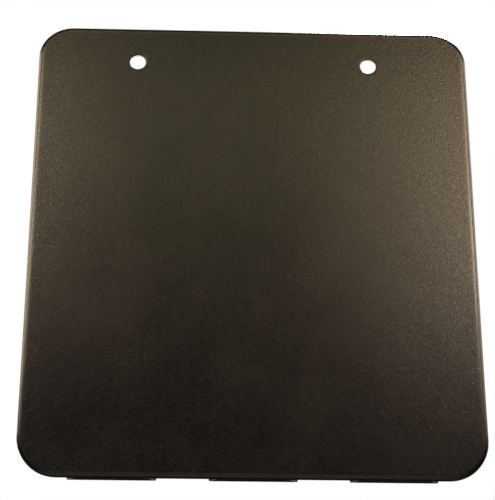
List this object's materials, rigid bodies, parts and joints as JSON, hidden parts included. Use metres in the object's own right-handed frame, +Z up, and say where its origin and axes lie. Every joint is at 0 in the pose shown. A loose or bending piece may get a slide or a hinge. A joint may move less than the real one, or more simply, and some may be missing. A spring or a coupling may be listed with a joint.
{
  "type": "mud flap",
  "caption": "Flat moulded rubber mud flap with a leather-grained front, rounded corners, two bolt holes near its top edge and flat stiffening ribs on its back; it bends fore and aft.",
  "frame": {"origin": "midway between the two bolt holes, on the flap's flat back face", "axes": "+Z up the hanging flap, +X along its width, +Y out of its back towards the bracket, so the grained front faces -Y"},
  "size_m": [0.3048, 0.0111, 0.3302],
  "materials": {
    "grained_rubber": "satin black-brown moulded rubber with a fine leather grain",
    "rib_rubber": "plain black moulded rubber, duller than the grained face"
  },
  "bodies": {
    "mounting": {"mounting_band": "grained_rubber"},
    "flap_1": {"flap_panel_1": "grained_rubber", "left_rib_1": "rib_rubber", "centre_rib_1": "rib_rubber", "right_rib_1": "rib_rubber"},
    "flap_2": {"flap_panel_2": "grained_rubber", "left_rib_2": "rib_rubber", "centre_rib_2": "rib_rubber", "right_rib_2": "rib_rubber"},
    "flap_3": {"flap_panel_3": "grained_rubber", "left_rib_3": "rib_rubber", "centre_rib_3": "rib_rubber", "right_rib_3": "rib_rubber"},
    "flap_4": {"flap_panel_4": "grained_rubber", "left_rib_4": "rib_rubber", "centre_rib_4": "rib_rubber", "right_rib_4": "rib_rubber"}
  },
  "joints": [
    {"name": "flex_1", "type": "hinge", "parent": "mounting", "child": "flap_1", "pos_m": [0, -0.00317, -0.04], "axis": [1, 0, 0], "range_deg": [-20, 20], "stiffness_Nm_per_rad": 2},
    {"name": "flex_2", "type": "hinge", "parent": "flap_1", "child": "flap_2", "pos_m": [0, -0.00317, -0.10555], "axis": [1, 0, 0], "range_deg": [-20, 20], "stiffness_Nm_per_rad": 2},
    {"name": "flex_3", "type": "hinge", "parent": "flap_2", "child": "flap_3", "pos_m": [0, -0.00317, -0.1711], "axis": [1, 0, 0], "range_deg": [-20, 20], "stiffness_Nm_per_rad": 2},
    {"name": "flex_4", "type": "hinge", "parent": "flap_3", "child": "flap_4", "pos_m": [0, -0.00317, -0.23665], "axis": [1, 0, 0], "range_deg": [-20, 20], "stiffness_Nm_per_rad": 2}
  ]
}
